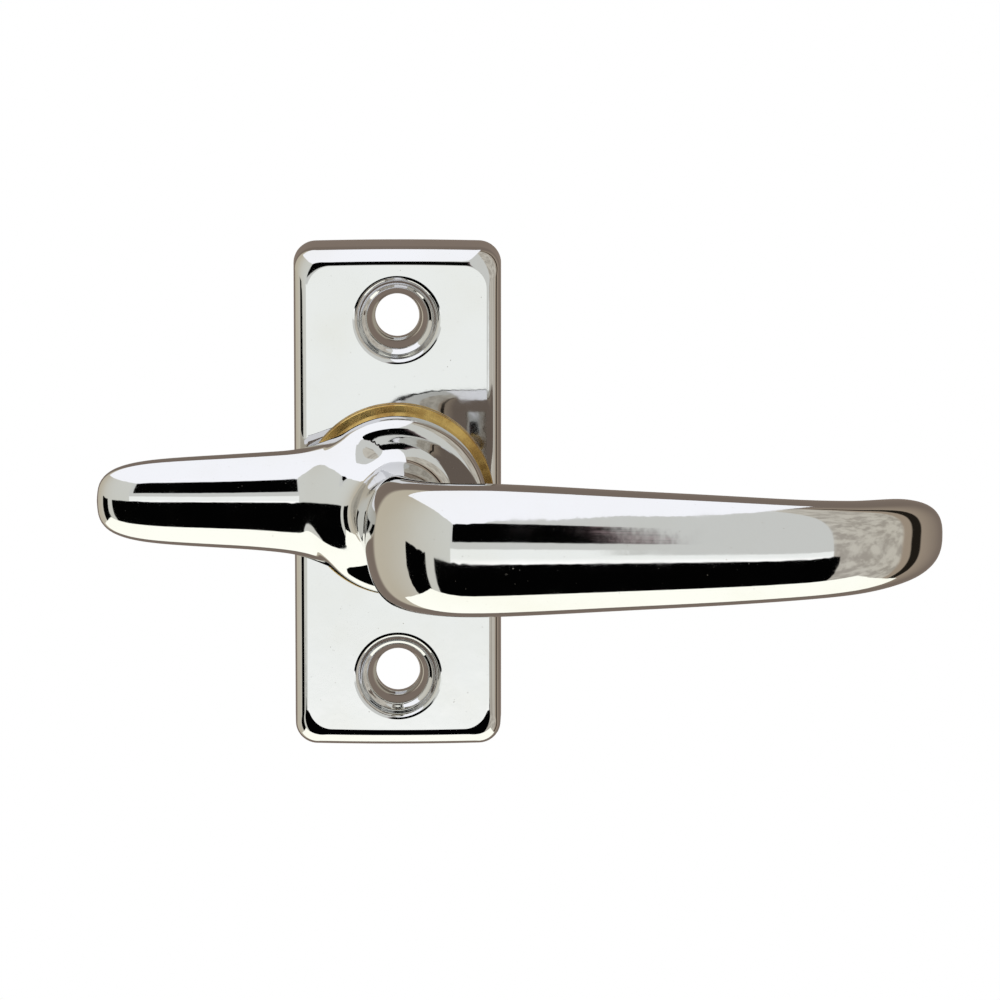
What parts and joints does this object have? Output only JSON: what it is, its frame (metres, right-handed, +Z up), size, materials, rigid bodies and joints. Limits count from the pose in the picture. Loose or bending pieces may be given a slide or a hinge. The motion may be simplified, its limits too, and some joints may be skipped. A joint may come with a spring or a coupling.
{
  "type": "cam latch window handle",
  "caption": "Chrome cam-latch window handle: tall rectangular base plate, round hub on a brass washer, cranked lever to one side and a tapering locking spur to the other.",
  "frame": {"origin": "centre of the base plate's back, on the axis the handle turns on", "axes": "+Z up along the plate's length, -Y toward the room along the turning axis, +X toward the lever"},
  "size_m": [0.1045, 0.0479, 0.064],
  "materials": {
    "handle_chrome": "bright chrome plate on a polished zinc casting",
    "plate_chrome": "bright chrome plate on a polished zinc casting",
    "brass": "plain stamped brass, slightly dulled",
    "bronze": "sintered bearing bronze",
    "steel": "turned steel",
    "zinc_steel": "zinc-plated sheet steel",
    "spring_steel": "blued spring steel",
    "black_steel": "black oxide"
  },
  "bodies": {
    "base": {"base_plate": "plate_chrome", "bearing_bush": "bronze", "friction_washer": "brass", "stop_pin": "steel", "click_spring_upper": "spring_steel", "click_spring_lower": "spring_steel", "cover_plate": "zinc_steel", "cover_screw_upper": "steel", "cover_screw_lower": "steel"},
    "handle": {"handle": "handle_chrome", "spindle": "steel", "grub_screw": "black_steel", "square_cam": "steel", "wave_washer": "spring_steel", "retaining_clip": "black_steel"}
  },
  "joints": [
    {"name": "handle_turn", "type": "hinge", "parent": "base", "child": "handle", "pos_m": [0, 0, 0], "axis": [0, -1, 0], "range_deg": [-90, 90], "deforming": ["click_spring_upper", "click_spring_lower"]}
  ]
}
